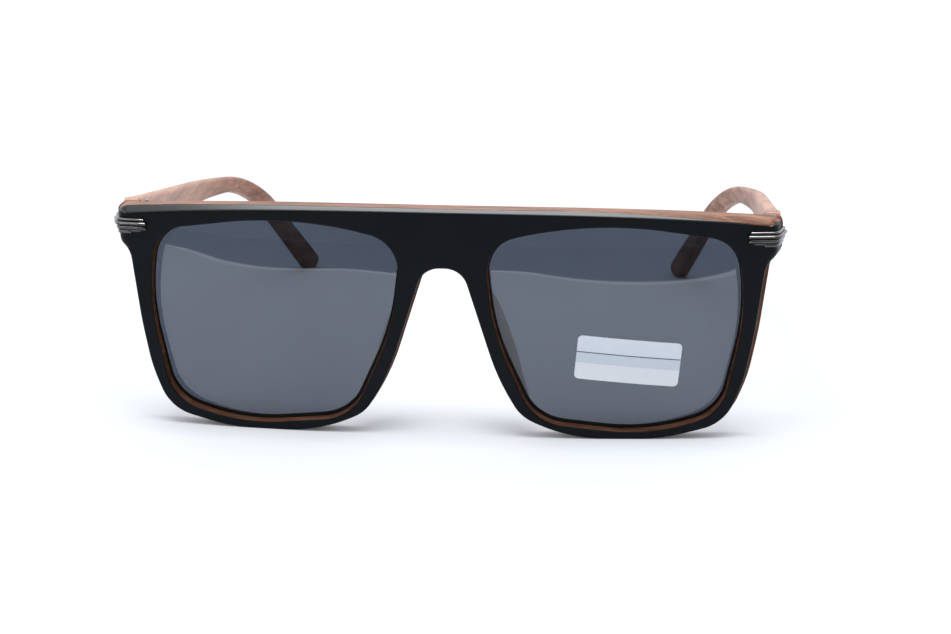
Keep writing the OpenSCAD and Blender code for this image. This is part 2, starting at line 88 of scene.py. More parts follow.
def brow_chamfer(x):
    """Width of the brow's chamfer at a distance from the middle."""
    return CHAMFER_MID + (CHAMFER_END - CHAMFER_MID) * (x / FRONT_HALF) ** 2


def ease(t):
    """0 below 0, 1 above 1 and smooth between."""
    t = min(max(t, 0.0), 1.0)
    return t * t * (3 - 2 * t)


def between(a, b, share):
    """Value from a to b at a share of the way."""
    return a + (b - a) * share


# Outlines, with their steps in degrees and in millimetres
STEP_A, STEP_L = 6.0, 1.2


def round_corner(a, b, c, r):
    """Points that round corner b, between a and c, to radius r."""
    if r == 0:
        return [b.copy()]
    u, v = (a - b).normalized(), (c - b).normalized()
    half = math.acos(max(-1.0, min(1.0, u.dot(v)))) / 2
    centre = b + (u + v).normalized() * r / math.sin(half)
    p = b + u * r / math.tan(half) - centre
    q = b + v * r / math.tan(half) - centre
    start = math.atan2(p.y, p.x)
    sweep = (math.atan2(q.y, q.x) - start + 3 * math.pi) % (2 * math.pi) - math.pi
    n = math.ceil(max(abs(math.degrees(sweep)) / STEP_A, abs(sweep) * r / STEP_L))
    angles = [start + sweep * i / n for i in range(n + 1)]
    return [centre + r * Vector((math.cos(t), math.sin(t))) for t in angles]


def outline(corners):
    """Closed outline through clockwise corners, each (x, z, radius), with its long edges cut up."""
    p = [Vector(c[:2]) for c in corners]
    n = len(p)
    rough = []
    for i, c in enumerate(corners):
        rough += round_corner(p[i - 1], p[i], p[(i + 1) % n], c[2])
    out = []
    for i, a in enumerate(rough):
        b = rough[(i + 1) % len(rough)]
        cuts = max(1, math.ceil((b - a).length / (2 * STEP_L)))
        out += [a.lerp(b, k / cuts) for k in range(cuts)]
    return out


def outward(points):
    """Outward direction at each point of a clockwise outline."""
    n, out = len(points), []
    for i, p in enumerate(points):
        t = (p - points[i - 1]).normalized() + (points[(i + 1) % n] - p).normalized()
        t.normalize()
        out.append(Vector((-t.y, t.x)))
    return out


def grow(points, d):
    """The outline moved outwards by a distance."""
    return [p + d * o for p, o in zip(points, outward(points))]


def in_lens(u, v):
    """Place in the box round a lens opening: u from nose to temple side, v from bottom to top."""
    return Vector((BRIDGE_W / 2 + u * LENS_W, RIM_BOTTOM + v * LENS_H))


def lens_corner(u, v, r, dx=0.0, dz=0.0):
    """Corner of radius r at a place in the lens's box, moved by (dx, dz)."""
    p = in_lens(u, v)
    return (p.x + dx, p.y + dz, r)


LENS_OPENING = outline([
    lens_corner(-0.016, 0.911, 8),
    lens_corner(0.407, 1.032, 84),
    lens_corner(0.975, 0.932, 8.2),
    lens_corner(1.01, 0.579, 50),
    lens_corner(0.926, 0.083, 10),
    lens_corner(0.627, -0.013, 46),
    lens_corner(0.188, 0.043, 11),
    lens_corner(0.022, 0.49, 50),
])
BROW_STEP = 3
BROW_LINE = [(x, brow_top(x), 0) for x in range(0, int(FRONT_HALF) - BROW_STEP, BROW_STEP)]
RIGHT_HALF = BROW_LINE + [
    (FRONT_HALF - END_TUCK, brow_top(FRONT_HALF), 1.9),
    (FRONT_HALF, TRIM_Z, 8),
    (FRONT_HALF - END_TUCK, END_Z + END_LIFT, 2.8),
    lens_corner(1, 0.817, 4, RIM_SIDE + NECK_W),
    lens_corner(0.994, 0.478, 80, RIM_SIDE),
    lens_corner(0.958, 0.251, 36, RIM_SIDE),
    lens_corner(0.91, 0.075, 9.5, 0.58 * RIM_SIDE, -RIM_BOTTOM),
    lens_corner(0.69, 0, 40, 0, -RIM_BOTTOM),
    lens_corner(0.325, 0, 36, 0, -RIM_BOTTOM),
    lens_corner(0.176, 0.09, 9, -0.8 * RIM_NOSE, -0.5 * RIM_BOTTOM),
    lens_corner(0.094, 0.258, 54, -RIM_NOSE),
    (ARCH_W / 2, ARCH_Z, 5),
]
FRONT = outline(RIGHT_HALF + [(-x, z, r) for x, z, r in reversed(RIGHT_HALF[1:])])

# Meshes
MERGE, FLAT = 1e-7, 1e-8
# Spare points of a cap: spacing, and as shares of it the distance from its edges and the first row
SEED, SEED_CLEAR, SEED_ROW = 4.0, 0.35, 0.3
# Edges sharper than this many degrees stay sharp
CRISP, ROUND = 35, 60


def inside(p, loop):
    """True if a point lies inside a closed loop."""
    hit, n = False, len(loop)
    for i in range(n):
        a, b = loop[i - 1], loop[i]
        if (a.y > p.y) != (b.y > p.y) and p.x < a.x + (p.y - a.y) * (b.x - a.x) / (b.y - a.y):
            hit = not hit
    return hit


def cap_faces(loops, seed):
    """Triangles between the first loop and the others, as (extra points, faces by index)."""
    points = [p for loop in loops for p in loop]
    edges, base = [], 0
    for loop in loops:
        n = len(loop)
        edges += [(base + i, base + (i + 1) % n) for i in range(n)]
        base += n
    outer = grow(loops[0], -SEED_CLEAR * seed)
    holes = [grow(loop, SEED_CLEAR * seed) for loop in loops[1:]]
    lo = [min(p[k] for p in loops[0]) for k in (0, 1)]
    hi = [max(p[k] for p in loops[0]) for k in (0, 1)]
    extra = []
    for i in range(1, int((hi[0] - lo[0]) / seed) + 1):
        for j in range(1, int((hi[1] - lo[1]) / seed) + 1):
            p = Vector((lo[0] + (i - 0.5 * (j % 2)) * seed, lo[1] + (j - SEED_ROW) * seed))
            if inside(p, outer) and not any(inside(p, h) for h in holes):
                extra.append(p)
    found = delaunay_2d_cdt(points + extra, edges, [], 0, 1e-6)
    coords, faces, origin = found[0], found[2], found[3]
    kept = []
    for f in faces:
        middle = sum((coords[k] for k in f), Vector((0, 0))) / len(f)
        if inside(middle, loops[0]) and not any(inside(middle, h) for h in loops[1:]):
            kept.append([origin[k][0] for k in f])
    return extra, kept


def new_object(name, data):
    """Object in the scene for a mesh, lamp or camera."""
    obj = bpy.data.objects.new(name, data)
    bpy.context.scene.collection.objects.link(obj)
    return obj


def smooth(obj, sharp=CRISP):
    """Smooth shading up to an angle, with normals that follow the larger faces."""
    obj.data.shade_smooth()
    obj.data.set_sharp_from_angle(angle=math.radians(sharp))
    even = obj.modifiers.new("even_normals", "WEIGHTED_NORMAL")
    even.keep_sharp = True
    even.weight = 80


def build(name, verts, faces, sharp=CRISP):
    """Mesh object in metres from points in millimetres."""
    mesh = bpy.data.meshes.new(name)
    mesh.from_pydata([(x * MM, y * MM + Y0, z * MM) for x, y, z in verts], [], faces)
    bm = bmesh.new()
    bm.from_mesh(mesh)
    bmesh.ops.remove_doubles(bm, verts=bm.verts, dist=MERGE)
    bmesh.ops.dissolve_degenerate(bm, edges=bm.edges, dist=FLAT)
    bmesh.ops.recalc_face_normals(bm, faces=bm.faces)
    bm.to_mesh(mesh)
    bm.free()
    obj = new_object(name, mesh)
    smooth(obj, sharp)
    return obj


def skin(rings, base=0):
    """Four-sided faces between neighbouring rings of equal length."""
    n = len(rings[0])
    faces = []
    for k in range(len(rings) - 1):
        for i in range(n):
            a, b = base + k * n + i, base + k * n + (i + 1) % n
            faces.append((a, b, b + n, a + n))
    return faces


def slab(name, walls, place, seed=SEED, sharp=CRISP):
    """Closed solid between two caps. Each wall is a list of rings from front to back, and each ring a list
    of (u, v, depth). The first wall is the outer one, and the others are holes."""
    verts, faces, fronts, backs = [], [], [], []
    for rings in walls:
        base = len(verts)
        for ring in rings:
            verts += [place(*p) for p in ring]
        faces += skin(rings, base)
        fronts.append((rings[0], base))
        backs.append((rings[-1], base + (len(rings) - 1) * len(rings[0])))
    for side in (fronts, backs):
        loops = [[Vector(p[:2]) for p in ring] for ring, _ in side]
        index = [base + i for ring, base in side for i in range(len(ring))]
        extra, tris = cap_faces(loops, seed)
        rim = [p for ring, _ in side for p in ring]
        index += [len(verts) + i for i in range(len(extra))]
        for e in extra:
            near = min(rim, key=lambda q: (q[0] - e.x) ** 2 + (q[1] - e.y) ** 2)
            verts.append(place(e.x, e.y, near[2]))
        faces += [[index[k] for k in f] for f in tris]
    return build(name, verts, faces, sharp)


def tube(name, rings):
    """Closed skin through rings of points, with a fan at both ends."""
    n = len(rings[0])
    verts = [p for ring in rings for p in ring]
    faces = skin(rings)
    for k in (0, len(rings) - 1):
        middle = sum((Vector(p) for p in rings[k]), Vector()) / n
        verts.append(tuple(middle))
        faces += [(k * n + i, k * n + (i + 1) % n, len(verts) - 1) for i in range(n)]
    return build(name, verts, faces, ROUND)


def join(objects, name):
    """One object of several closed shells."""
    bm = bmesh.new()
    for o in objects:
        bm.from_mesh(o.data)
    mesh = bpy.data.meshes.new(name)
    bm.to_mesh(mesh)
    bm.free()
    for o in objects:
        bpy.data.objects.remove(o)
    obj = new_object(name, mesh)
    smooth(obj)
    return obj


def combine(obj, other, operation):
    """Union or difference with another solid, which is used up."""
    obj.modifiers.clear()
    tool = obj.modifiers.new("tool", "BOOLEAN")
    tool.operation, tool.solver, tool.object = operation, "EXACT", other
    bpy.context.view_layer.update()
    mesh = bpy.data.meshes.new_from_object(obj.evaluated_get(bpy.context.evaluated_depsgraph_get()))
    obj.modifiers.clear()
    obj.data = mesh
    bpy.data.objects.remove(other)
    smooth(obj)
    return obj


def mirrored(obj, name):
    """Copy on the other side of the middle plane."""
    mesh = obj.data.copy()
    bm = bmesh.new()
    bm.from_mesh(mesh)
    for v in bm.verts:
        v.co.x = -v.co.x
    bmesh.ops.reverse_faces(bm, faces=bm.faces)
    bm.to_mesh(mesh)
    bm.free()
    copy = new_object(name, mesh)
    smooth(copy)
    return copy


# Front: a black face layer over a wood-look body

# Radii of the edges at the rim, at the end pieces and at the back
EDGE_RIM, EDGE_END, EDGE_BACK = 0.25, 1.2, 0.5
# How far back the black layer reaches at the rim, the end pieces, the brow's bare part and the openings
LAYER_RIM, LAYER_END, LAYER_BARE, LAYER_LENS = 0.55, 4.3, 0.06, 0.35
# Where an edge point starts to belong to the end piece, by its place, and over what span it does
END_FROM, END_SPAN, END_ABOVE, END_RISE = 66, 4, 38.5, 2
# Where it starts to belong to the brow, by the way it faces and its height, and over what span
BROW_FACING, BROW_TURN, BROW_ABOVE, BROW_RISE = 0.25, 0.55, 46, 2
# The black layer leaves the brow chamfer between these distances to the right of the middle
WOOD_X0, WOOD_X1 = 24.0, 66.0
# Share of the chamfer's width that the black layer reaches back, and the soft lip where the chamfer starts
UNDER_CHAMFER, SOFT_CUT, SOFT_DEPTH = 1.15, 0.10, 0.12
# Narrow flat rings next to the edges of the caps, which keep the shading flat
FLAT_RIM, FLAT_END, FLAT_LENS, FLAT_BACK, FLAT_LENS_BACK = 0.4, 0.04, 0.35, 0.5, 0.4
# Bevel of the openings at their sides and at the bottom, how deep it goes, and its lips in front and behind
BEVEL_SIDE, BEVEL_LOW, BEVEL_D = 0.12, 0.4, 1.8
LIP, LIP_BACK, LIP_BACK_D = 0.12, 0.1, 0.08


class EdgePoint:
    """One point of the front's outline, with the shape of the edge there."""

    def __init__(self, p, n):
        self.p, self.n = p, n
        end = ease((abs(p.x) - END_FROM) / END_SPAN) * ease((p.y - END_ABOVE) / END_RISE)
        self.brow = ease((n.y - BROW_FACING) / BROW_TURN) * ease((p.y - BROW_ABOVE) / BROW_RISE)
        self.edge = between(EDGE_RIM, EDGE_END, end)
        self.chamfer = brow_chamfer(p.x)
        self.back = EDGE_BACK * (1 - end)
        self.flat = between(FLAT_RIM, FLAT_END, end)
        bare = min(max((p.x - WOOD_X0) / (WOOD_X1 - WOOD_X0), 0.0), 1.0)
        on_brow = between(UNDER_CHAMFER * self.chamfer, LAYER_BARE, bare)
        self.layer = between(between(LAYER_RIM, LAYER_END, end), on_brow, self.brow)

    def inset(self, d):
        """How far the edge lies inside the outline at a depth behind the face."""
        r = self.edge
        rounded = r - math.sqrt(r * r - (r - d) ** 2) if d < r else 0.0
        c = self.chamfer
        cut = max(c - d, 0.0) + SOFT_CUT * c * max(0.0, 1 - d / (SOFT_DEPTH * c))
        return self.brow * cut + (1 - self.brow) * rounded

    def at(self, d, extra=0.0):
        """Place on the edge at a depth behind the face."""
        back = max(0.0, d - (FRONT_T - self.back))
        r = self.back
        behind = r - math.sqrt(max(r * r - back * back, 0.0)) if r > 0 else 0.0
        q = self.p - self.n * (self.inset(d) + behind + extra)
        share = 1.0 if self.n.x * self.p.x > 0 else DRAFT_NOSE
        return (q.x + share * DRAFT * d / FRONT_T * self.n.x, q.y, d)


EDGE = [EdgePoint(p, n) for p, n in zip(FRONT, outward(FRONT))]
OPENING_OUT = outward(LENS_OPENING)


def bevel(out):
    """Width of the bevel where the outline faces a given way, widest at the bottom."""
    return between(BEVEL_SIDE, BEVEL_LOW, max(-out.y, 0.0))


LENS_SEAT = [p - o * bevel(o) for p, o in zip(LENS_OPENING, OPENING_OUT)]


def edge_ring(depth_of, extra=0.0):
    """Ring round the front, at the depth that a function gives for each edge point."""
    return [e.at(depth_of(e), extra) for e in EDGE]


def opening_ring(d, extra=0.0):
    """Ring round the right lens opening at a depth behind the face, with its lip and bevel."""
    share = min(d / BEVEL_D, 1.0)
    lip = LIP * (1 - min(d / LIP, 1.0)) ** 2
    out = [p + o * (lip + extra - bevel(o) * share) for p, o in zip(LENS_OPENING, OPENING_OUT)]
    return [(p.x, p.y, d) for p in out]


def both_openings(rings):
    """The rings of the right opening, and those of the left one."""
    left = [[(-x, z, d) for x, z, d in reversed(ring)] for ring in rings]
    return [rings, left]


def on_front(x, z, d):
    """Place at a depth behind the bowed face."""
    return (x, bow(x) + d, z)


def face_panel():
    """Black layer over the face, its edges and the start of the openings."""
    outer = [[e.at(0.0, e.flat) for e in EDGE]]
    for share in (0.0, 0.04, 0.12, 0.25, 0.42, 0.62, 0.82, 1.0):
        outer.append(edge_ring(lambda e: e.layer * share))
    lens_rings = [opening_ring(0.0, FLAT_LENS)]
    lens_rings += [opening_ring(d) for d in (0.0, 0.03, 0.07, LIP, LAYER_LENS)]
    return slab("face_panel", [outer] + both_openings(lens_rings), on_front)


def end_foot():
    """Foot of the right end piece, stepped on its inner side to make room for the hinge."""
    drop, lift, edge, overlap, beyond = 0.2, 0.7, 0.5, 0.3, 3
    notch_x, notch_y = 68.2, 11.25
    top = brow_top(FRONT_HALF) - drop
    inner = END_X - END_FOOT
    shape = outline([
        (inner, top, 1), (END_X, top, 1.6), (END_X, END_Z + lift, 2.2), (inner, END_Z, 1.5),
    ])
    rings = [[(p.x, p.y, bow(p.x) + FRONT_T - overlap) for p in shape]]
    for a in (0, math.pi / 6, math.pi / 3, math.pi / 2):
        y = END_Y - edge + edge * math.sin(a)
        rings.append([(p.x, p.y, y) for p in grow(shape, edge * math.cos(a) - edge)])
    foot = slab("foot", [rings], lambda x, z, y: (x, y, z))
    ends = [(inner - beyond, notch_x), (notch_y, END_Y + beyond), (END_Z - beyond, BROW_Z)]
    box = [(x, y, z) for x in ends[0] for y in ends[1] for z in ends[2]]
    sides = [(0, 1, 3, 2), (4, 6, 7, 5), (0, 4, 5, 1), (2, 3, 7, 6), (0, 2, 6, 4), (1, 5, 7, 3)]
    return combine(foot, build("notch", box, sides), "DIFFERENCE")


def wood_front():
    """Body behind the black layer, with the feet of both end pieces."""
    least = 0.1
    outer = []
    for share in (0.0, 0.08, 0.3, 0.65, 1.0):
        outer.append(edge_ring(
            lambda e: between(e.layer, max(UNDER_CHAMFER * e.chamfer, e.layer + least), share)))
    for share in (0.0, 0.3, 0.6, 0.85, 1.0):
        outer.append(edge_ring(lambda e: FRONT_T - e.back * (1 - share)))
    outer.append(edge_ring(lambda e: FRONT_T, FLAT_BACK))
    depths = (LAYER_LENS, 0.8, 1.3, BEVEL_D, 2.4, FRONT_T - 0.4)
    lens_rings = [opening_ring(d) for d in depths]
    lens_rings += [opening_ring(FRONT_T - LIP_BACK_D, LIP_BACK), opening_ring(FRONT_T, FLAT_LENS_BACK)]
    body = slab("wood_front", [outer] + both_openings(lens_rings), on_front)
    foot = end_foot()
    other = mirrored(foot, "foot_left")
    combine(body, foot, "UNION")
    return combine(body, other, "UNION")


# Lenses
LENS_R, LENS_T, LENS_INSET = 150.0, 1.8, 0.3
LENS_RIDGE, LENS_SEED, LENS_SHARP = 0.4, 2.0, 30
# The glass lies this far behind the label, and the painted shadow ring in its gap widens from top to bottom
LABEL_GAP = 0.05
GAP_TOP, GAP_LOW, GAP_CLEAR = 0.3, 0.9, 0.02
GAP_FROM, GAP_SPAN, GAP_DEPTHS = 6, 34, (-0.03, -0.01)
LENS_TURN = math.asin(LENS_X / FRONT_R)
LENS_REACH = LENS_R + LENS_INSET
LENS_CENTRE = Vector((
    LENS_X - LENS_REACH * math.sin(LENS_TURN), bow(LENS_X) + LENS_REACH * math.cos(LENS_TURN), LENS_Z,
))


def on_lens(x, z, d):
    """Place at a depth behind the front sphere of the right lens."""
    r, side, up = LENS_R - d, x - LENS_CENTRE.x, z - LENS_CENTRE.z
    return (x, LENS_CENTRE.y - math.sqrt(r * r - side ** 2 - up ** 2), z)


def lens():
    """Right lens: two spherical faces, and an edge that reaches into the rim."""
    edge = grow(LENS_SEAT, LENS_RIDGE)
    rings = [[(p.x, p.y, d) for p in edge] for d in (LABEL_GAP, LENS_T)]
    return slab("lens_pane_right", [rings], on_lens, LENS_SEED, LENS_SHARP)


def lens_gap():
    """Painted shadow: a dark ring on the right lens where it dips into the rim, standing for the shade in
    the gap.
    """
    outer = grow(LENS_SEAT, -GAP_CLEAR)
    inner = []
    for p, o in zip(LENS_SEAT, outward(LENS_SEAT)):
        low = (1 - ease((p.y - GAP_FROM) / GAP_SPAN) + max(-o.y, 0.0)) / 2
        inner.append(p - o * between(GAP_TOP, GAP_LOW, low))
    walls = [[[(p.x, p.y, d) for p in ring] for d in GAP_DEPTHS] for ring in (outer, inner)]
    return slab("lens_gap_right", walls, on_lens, LENS_SEED, LENS_SHARP)


# Nose pads
PAD_Z0, PAD_Z1, PAD_REACH, PAD_FLARE, PAD_SUNK = 6.5, 34.5, 7.6, 1.9, 1.0
PAD_FOOT, PAD_EDGE = 1.4, 0.8
# How it rounds off to its ends, its share of thickness there and how boxy its section is
PAD_OVAL, PAD_BLUNT, PAD_THIN, PAD_BOXY = 2.6, 0.55, 0.15, 0.3
# Its place across the lens at its knee, its lean along the rim and its curl below the knee
PAD_U, PAD_LEAN, PAD_KNEE, PAD_CURL = 0.09, 0.345, 12.5, 0.05
PAD_RINGS, PAD_SIDES = 22, 20


def nose_pad():
    """Right pad: a thin fin on the nose side of the rim, rounded to nothing at both ends."""
    knee_x = in_lens(PAD_U, 0).x
    rings = []
    for k in range(PAD_RINGS + 1):
        t = -math.cos(math.pi * k / PAD_RINGS)
        z = (PAD_Z0 + PAD_Z1) / 2 + (PAD_Z1 - PAD_Z0) / 2 * t
        full = max(1 - abs(t) ** PAD_OVAL, 0.0) ** PAD_BLUNT
        x = knee_x - PAD_LEAN * (z - PAD_KNEE) + PAD_CURL * max(PAD_KNEE - z, 0.0) ** 2
        length = PAD_SUNK + PAD_REACH * full
        ring = []
        for i in range(PAD_SIDES):
            a = 2 * math.pi * i / PAD_SIDES
            out = 0.5 - 0.5 * math.cos(a)
            half = between(PAD_FOOT, PAD_EDGE, out) * between(PAD_THIN, 1, full)
            side = math.sin(a) * half / max(math.sqrt(abs(math.sin(a))), PAD_BOXY)
            depth = FRONT_T - PAD_SUNK + length * out
            ring.append((x + PAD_FLARE * full * out + side, bow(x) + depth, z))
        rings.append(ring)
    return tube("nose_pad_fin_right", rings)


# Trims, which run from the front round the corner to the side
CORNER_R = 1.5
FRONT_SLOPE = math.asin(FRONT_HALF / FRONT_R)
SIDE_SLOPE = math.atan(DRAFT / FRONT_T)
FRONT_NORMAL = Vector((math.sin(FRONT_SLOPE), -math.cos(FRONT_SLOPE)))
SIDE_NORMAL = Vector((math.cos(SIDE_SLOPE), -math.sin(SIDE_SLOPE)))
CORNER_PULL = CORNER_R / (1 + FRONT_NORMAL.dot(SIDE_NORMAL))
CORNER = Vector((FRONT_HALF, bow(FRONT_HALF))) - CORNER_PULL * (FRONT_NORMAL + SIDE_NORMAL)
CORNER_TURN = math.pi / 2 - FRONT_SLOPE - SIDE_SLOPE
CORNER_ARC = CORNER_R * CORNER_TURN
# Each rib: height above the trim's middle, half height, how proud it stands, length on the front, length on
# the side and slant of its front end
RIBS = {
    "rib_a": (1.45, 0.36, 0.55, 4.9, 4.4, 0.0),
    "rib_b": (0.65, 0.50, 1.0, 5.5, 4.6, 0.0),
    "rib_c": (-0.35, 0.56, 0.6, 5.2, 4.5, 0.7),
    "rib_d": (-1.35, 0.40, 0.3, 1.8, 4.2, 0.0),
    "bed": (0.2, 1.5, 0.1, 4.8, 4.5, 0.0),
}
RIB_SIDES, RIB_CROWN, RIB_SUNK, RIB_POINT = 16, 0.8, 0.35, 0.05


def round_the_end(s, reach):
    """Point along the path: below 0 on the front, then round the corner, then along the side."""
    if s < 0:
        t = Vector((math.cos(FRONT_SLOPE), math.sin(FRONT_SLOPE)))
        return CORNER + FRONT_NORMAL * reach + t * s
    a = FRONT_SLOPE - math.pi / 2 + CORNER_TURN * min(s / CORNER_ARC, 1.0)
    back = Vector((math.sin(SIDE_SLOPE), math.cos(SIDE_SLOPE)))
    return CORNER + Vector((math.cos(a), math.sin(a))) * reach + back * max(s - CORNER_ARC, 0.0)


def rib(name, lift, half, proud, front, side, slant):
    """One rib of the trim, rounded along its crown and at its ends."""
    z = TRIM_Z + lift
    s0, s1 = -front, CORNER_ARC + side
    stations = [s0 + half * (1 - math.cos(math.radians(a))) for a in range(0, 91, 15)]
    stations += [between(s0 + half, 0, k / 3) for k in (1, 2)]
    stations += [CORNER_ARC * k / 10 for k in range(11)]
    stations += [s1 - half * (1 - math.cos(math.radians(a))) for a in range(90, -1, -15)]
    rings = []
    for s in stations:
        near = min((s - s0) / half, (s1 - s) / half, 1.0)
        round_off = max(math.sqrt(max(1 - (1 - near) ** 2, 0.0)), RIB_POINT)
        ring = []
        for i in range(RIB_SIDES):
            a = 2 * math.pi * i / RIB_SIDES
            up, out = math.sin(a) * half * round_off, math.cos(a)
            reach = CORNER_R + (proud * round_off * abs(out) ** RIB_CROWN if out > 0 else RIB_SUNK * out)
            q = round_the_end(s + (slant * up if s < 0 else 0.0), reach)
            ring.append((q.x, q.y, z + up))
        rings.append(ring)
    return tube(name, rings)


def trim():
    """Right corner trim: four ribs on a bed."""
    return join([rib(name, *sizes) for name, sizes in RIBS.items()], "corner_trim_right")


# Temples
TEMPLE_T, TEMPLE_INSET = 3.2, 0.4
TEMPLE_X = END_X - TEMPLE_INSET - TEMPLE_T / 2
TEMPLE_Y = END_Y + JOINT_GAP
TEMPLE_TOP, TEMPLE_BOTTOM, TEMPLE_R, FALL = 49.0, 39.9, 1.2, 0.169
WAIST, WAIST_Y, WAIST_R = 5.4, 79.6, 60
EAR_Y, EAR_R, BEND_R, BEND_LEAD = 112.9, 38, 36, 1.8
TIP_Y, TIP_W, TIP_R, TIP_SLOPE = 142.8, 6.8, 2.2, 1.17
TURN_Y, TURN_R, TURN_A = 74.0, 105.0, math.radians(24.3)
# The edges are crisp at the joint and round behind it
CRISP_EDGE, ROUND_EDGE, EDGE_FROM, EDGE_SPAN = 0.25, 1.1, 0.5, 6
FLAT_TEMPLE = 0.3


def top_line(y):
    """Height of the temple's top edge."""
    return TEMPLE_TOP - FALL * (y - TEMPLE_Y)


def on_temple(y, z, u):
    """Place on the temple: straight, an inward turn, then straight to the tip."""
    run = max(y - TURN_Y, 0.0)
    if run < TURN_R * math.sin(TURN_A):
        a = math.asin(run / TURN_R)
        x = TEMPLE_X - TURN_R * (1 - math.cos(a))
    else:
        a = TURN_A
        x = TEMPLE_X - TURN_R * (1 - math.cos(a)) - (run - TURN_R * math.sin(a)) * math.tan(a)
    return (x + u / math.cos(a), y, z)


def temple():
    """Right temple: a flat arm with a waist, a bend over the ear and a tip on the floor."""
    bend, foot = EAR_Y - BEND_LEAD, TIP_Y - TIP_W
    side = outline([
        (TEMPLE_Y, TEMPLE_TOP, TEMPLE_R),
        (EAR_Y, top_line(EAR_Y), EAR_R),
        (TIP_Y, 0, TIP_R),
        (foot, 0, TIP_R),
        (bend, (foot - bend) * TIP_SLOPE, BEND_R),
        (WAIST_Y, top_line(WAIST_Y) - WAIST, WAIST_R),
        (TEMPLE_Y, TEMPLE_BOTTOM, TEMPLE_R),
    ])
    out = outward(side)
    half = TEMPLE_T / 2

    def ring(degrees, face, extra=0.0):
        """Ring on one face's edge: at 90 degrees it lies on the flat face, at 0 on the narrow side."""
        angle = math.radians(degrees)
        points = []
        for p, o in zip(side, out):
            e = between(CRISP_EDGE, ROUND_EDGE, ease((p.x - TEMPLE_Y - EDGE_FROM) / EDGE_SPAN))
            q = p - o * (e * (1 - math.cos(angle)) + extra)
            points.append((q.x, q.y, face * (half - e + e * math.sin(angle))))
        return points

    turns = range(90, -1, -15)
    rings = [ring(90, 1, FLAT_TEMPLE)] + [ring(a, 1) for a in turns]
    rings += [ring(a, -1) for a in reversed(turns)] + [ring(90, -1, FLAT_TEMPLE)]
    return slab("temple_arm_right", [rings], on_temple, seed=3.0)


# Materials. Places are in metres and noise scales in repeats per metre.
WHITE, BLACK = (1, 1, 1, 1), (0, 0, 0, 1)


def grey(v):
    return (v, v, v, 1)


def srgb(r, g, b):
    """Linear colour of an 8-bit one."""
    return tuple(((c / 255 + 0.055) / 1.055) ** 2.4 if c > 10 else c / 3294.6 for c in (r, g, b)) + (1.0,)


class Nodes:
    """Short calls that build the node tree of a material or the world."""

    def __init__(self, owner):
        owner.use_nodes = True
        self.tree = owner.node_tree
        self.tree.nodes.clear()

    def set(self, socket, value):
        """Link a socket to another one, or give it a number or colour."""
        if isinstance(value, bpy.types.NodeSocket):
            self.tree.links.new(value, socket)
        else:
            socket.default_value = value

    def add(self, kind, **inputs):
        """New node. Its inputs go by name, with _ for a space and a number where names repeat."""
        n = self.tree.nodes.new(kind)
        for key, value in inputs.items():
            name = key.rstrip("0123456789")
            same = [s for s in n.inputs if s.name.replace(" ", "_") == name]
            self.set(same[int(key[len(name):] or 0)], value)
        return n

    def math(self, operation, *values):
        n = self.add("ShaderNodeMath", **{"Value" + str(i): v for i, v in enumerate(values)})
        n.operation = operation
        return n.outputs[0]

    def mix(self, factor, a, b, blend="MIX"):
        n = self.add("ShaderNodeMix")
        n.data_type, n.blend_type = "RGBA", blend
        for i, value in ((0, factor), (6, a), (7, b)):
            self.set(n.inputs[i], value)
        return n.outputs[2]

    def ramp(self, factor, *stops):
        """Colour at a factor, with stops given as (place, colour)."""
        n = self.add("ShaderNodeValToRGB", Fac=factor)
        e = n.color_ramp.elements
        while len(e) < len(stops):
            e.new(0.5)
        for item, (place, colour) in zip(e, stops):
            item.position, item.color = place, colour
        return n.outputs[0]

    def rise(self, factor, low, high):
        """0 below low, 1 above high and even between."""
        return self.ramp(factor, (low, BLACK), (high, WHITE))

    def drop(self, factor, low, high):
        """1 below low, 0 above high and even between."""
        return self.ramp(factor, (low, WHITE), (high, BLACK))

    def coordinate(self, kind):
        """Separate X, Y and Z of a texture coordinate, as the outputs of a node."""
        place = self.add("ShaderNodeTexCoord").outputs[kind]
        return self.add("ShaderNodeSeparateXYZ", Vector=place).outputs

    def place(self, scale, move=(0, 0, 0)):
        """Object coordinates, scaled and moved."""
        c = self.add("ShaderNodeTexCoord").outputs["Object"]
        return self.add("ShaderNodeMapping", Vector=c, Location=move, Scale=scale).outputs[0]

    def noise(self, scale, detail, rough=0.55, bend=0.0):
        """Noise with a scale per axis, or one for all."""
        scale = (scale,) * 3 if isinstance(scale, (int, float)) else scale
        return self.add("ShaderNodeTexNoise", Vector=self.place(scale), Scale=1.0, Detail=detail,
                        Roughness=rough, Distortion=bend).outputs["Fac"]

    def shader(self, **inputs):
        n = self.add("ShaderNodeBsdfPrincipled", **inputs)
        self.add("ShaderNodeOutputMaterial", Surface=n.outputs[0])

    def bump(self, height, strength, distance):
        return self.add("ShaderNodeBump", Height=height, Strength=strength, Distance=distance).outputs[0]


def material(name):
    """New material and its node tree."""
    m = bpy.data.materials.new(name)
    return m, Nodes(m)


